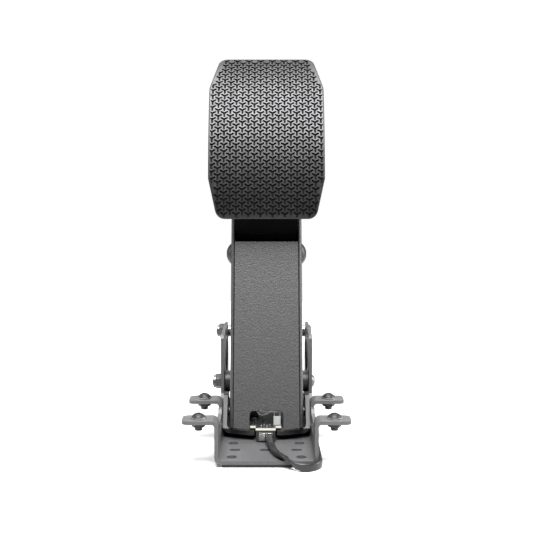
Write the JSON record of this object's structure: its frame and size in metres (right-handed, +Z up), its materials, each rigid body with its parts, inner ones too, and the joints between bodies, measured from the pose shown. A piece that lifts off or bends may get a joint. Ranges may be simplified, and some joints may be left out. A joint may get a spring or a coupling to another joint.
{
  "type": "sim racing pedal",
  "caption": "Floor-mounted racing pedal with a folded base, a swinging channel arm, a curved studded foot plate and a sprung push rod.",
  "frame": {"origin": "bottom centre of the base: on the ground, midway between its ears' tips and between its front and rear edges", "axes": "+Z up, -Y towards the driver, +X to the driver's right"},
  "size_m": [0.111, 0.311, 0.28],
  "materials": {
    "base_paint": "satin charcoal powder coat",
    "arm_paint": "fine-textured charcoal powder coat",
    "plate_metal": "dark satin coat on a cast relief",
    "bolt_steel": "zinc plated",
    "turned_steel": "turned and polished",
    "black_steel": "black oxide",
    "spring_steel": "black coated spring wire",
    "pad_rubber": "matt",
    "circuit_board": "solder mask",
    "black_plastic": "moulded",
    "white_plastic": "moulded",
    "clear_plastic": "clear polycarbonate",
    "cable_jacket": "flat vinyl jacket",
    "wire_jacket": "thin insulated leads"
  },
  "bodies": {
    "base": {"base_bracket": "base_paint", "base_pad": "pad_rubber", "cradle": "base_paint", "cradle_rivets": "bolt_steel", "rest_bumpers": "pad_rubber", "pivot_bolt": "bolt_steel", "pivot_nut": "bolt_steel", "pivot_sleeve": "turned_steel", "anchor_bolt": "bolt_steel", "anchor_nut": "bolt_steel", "anchor_spacers": "turned_steel", "ear_screws": "black_steel", "ear_washers": "bolt_steel", "ear_nuts": "black_steel", "socket_board": "circuit_board", "board_spacers": "white_plastic", "board_screws": "bolt_steel", "modular_socket": "black_plastic", "wire_header": "white_plastic", "sensor_holder": "black_plastic", "sensor_board": "circuit_board", "sensor_chip": "black_plastic", "sensor_wires": "wire_jacket", "cable_plug": "clear_plastic", "cable": "cable_jacket", "cable_hank": "cable_jacket", "hank_tie": "black_plastic", "far_plug": "clear_plastic"},
    "arm": {"arm_channel": "arm_paint", "foot_plate": "plate_metal", "plate_bracket": "arm_paint", "plate_screws": "bolt_steel", "side_screws": "black_steel", "side_nuts": "bolt_steel", "pivot_bushes": "black_plastic", "arm_pin": "turned_steel", "magnet_holder": "black_plastic", "magnet": "turned_steel", "holder_screws": "bolt_steel"},
    "guide": {"guide_cup": "black_steel", "return_spring": "spring_steel"},
    "rod": {"push_rod": "turned_steel", "bump_rubber": "pad_rubber"}
  },
  "joints": [
    {"name": "arm_hinge", "type": "hinge", "parent": "base", "child": "arm", "pos_m": [0, 0.011, 0.0362], "axis": [-1, 0, 0], "range_deg": [0, 16], "stiffness_Nm_per_rad": 40, "springref_deg": -5.73},
    {"name": "guide_pivot", "type": "hinge", "parent": "base", "child": "guide", "pos_m": [0, 0.0638, 0.0663], "axis": [-1, 0, 0], "range_deg": [0, 8.4]},
    {"name": "rod_slide", "type": "slide", "parent": "guide", "child": "rod", "axis": [0, 0.9088, -0.4172], "range_m": [0, 0.0147], "deforming": ["return_spring"]}
  ],
  "couplings": [
    {"joint": "guide_pivot", "follows": "arm_hinge", "ratio": 0.5138},
    {"joint": "rod_slide", "follows": "arm_hinge", "m_per_rad": 0.05178}
  ]
}
